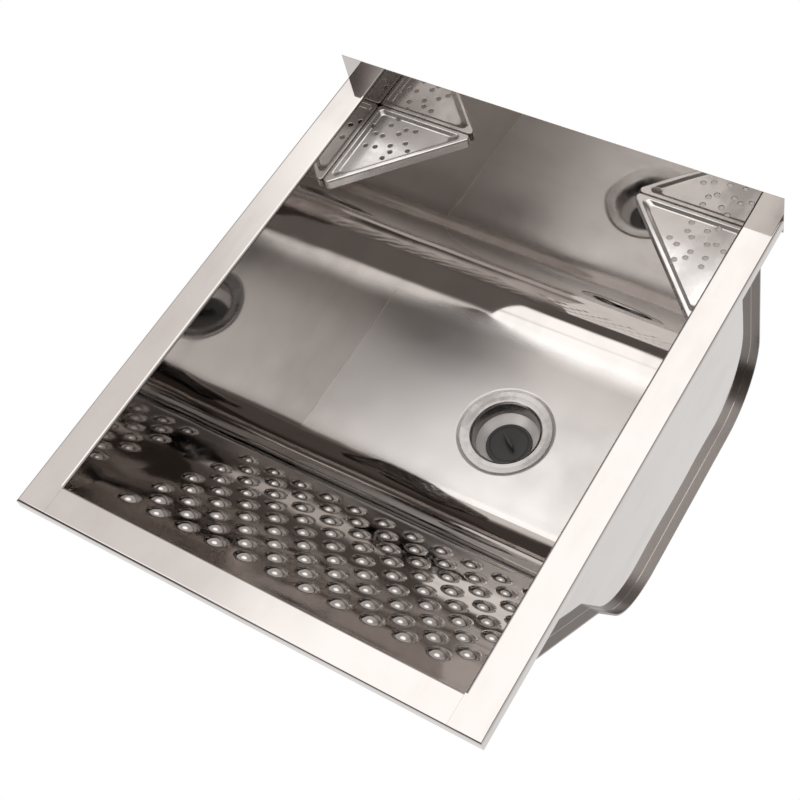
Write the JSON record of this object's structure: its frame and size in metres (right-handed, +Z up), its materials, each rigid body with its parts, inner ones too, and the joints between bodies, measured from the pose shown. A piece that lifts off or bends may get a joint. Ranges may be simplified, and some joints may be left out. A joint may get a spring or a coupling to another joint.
{
  "type": "laundry service sink",
  "caption": "Stainless laundry and service sink: deep bowl with a domed washboard front, low upstand, two corner soap dishes and a floor waste with a lift-out plug.",
  "frame": {"origin": "middle of the back face of the upstand, level with the top of the rim", "axes": "+X to the right as seen from the front, +Y into the wall behind, +Z up"},
  "size_m": [0.525, 0.6, 0.498],
  "materials": {
    "mirror_steel": "mirror-polished stainless steel",
    "satin_steel": "polished stainless steel with fine pressing marks",
    "waste_chrome": "turned and polished stainless steel",
    "black_rubber": "matte moulded rubber",
    "white_plastic": "moulded plastic"
  },
  "bodies": {
    "tub": {"tub_wrap": "mirror_steel", "left_side_panel": "mirror_steel", "right_side_panel": "mirror_steel", "left_soap_dish": "satin_steel", "right_soap_dish": "satin_steel", "flange_seal": "black_rubber", "strainer_body": "waste_chrome", "floor_gasket": "black_rubber", "slip_washer": "white_plastic", "locknut": "waste_chrome", "tail_seal": "black_rubber", "tailpiece": "waste_chrome", "coupling_nut": "white_plastic"},
    "plug": {"drain_plug": "black_rubber"}
  },
  "joints": [
    {"name": "plug_lift", "type": "slide", "parent": "tub", "child": "plug", "axis": [0, 0, 1], "range_m": [0, 0.06]}
  ]
}
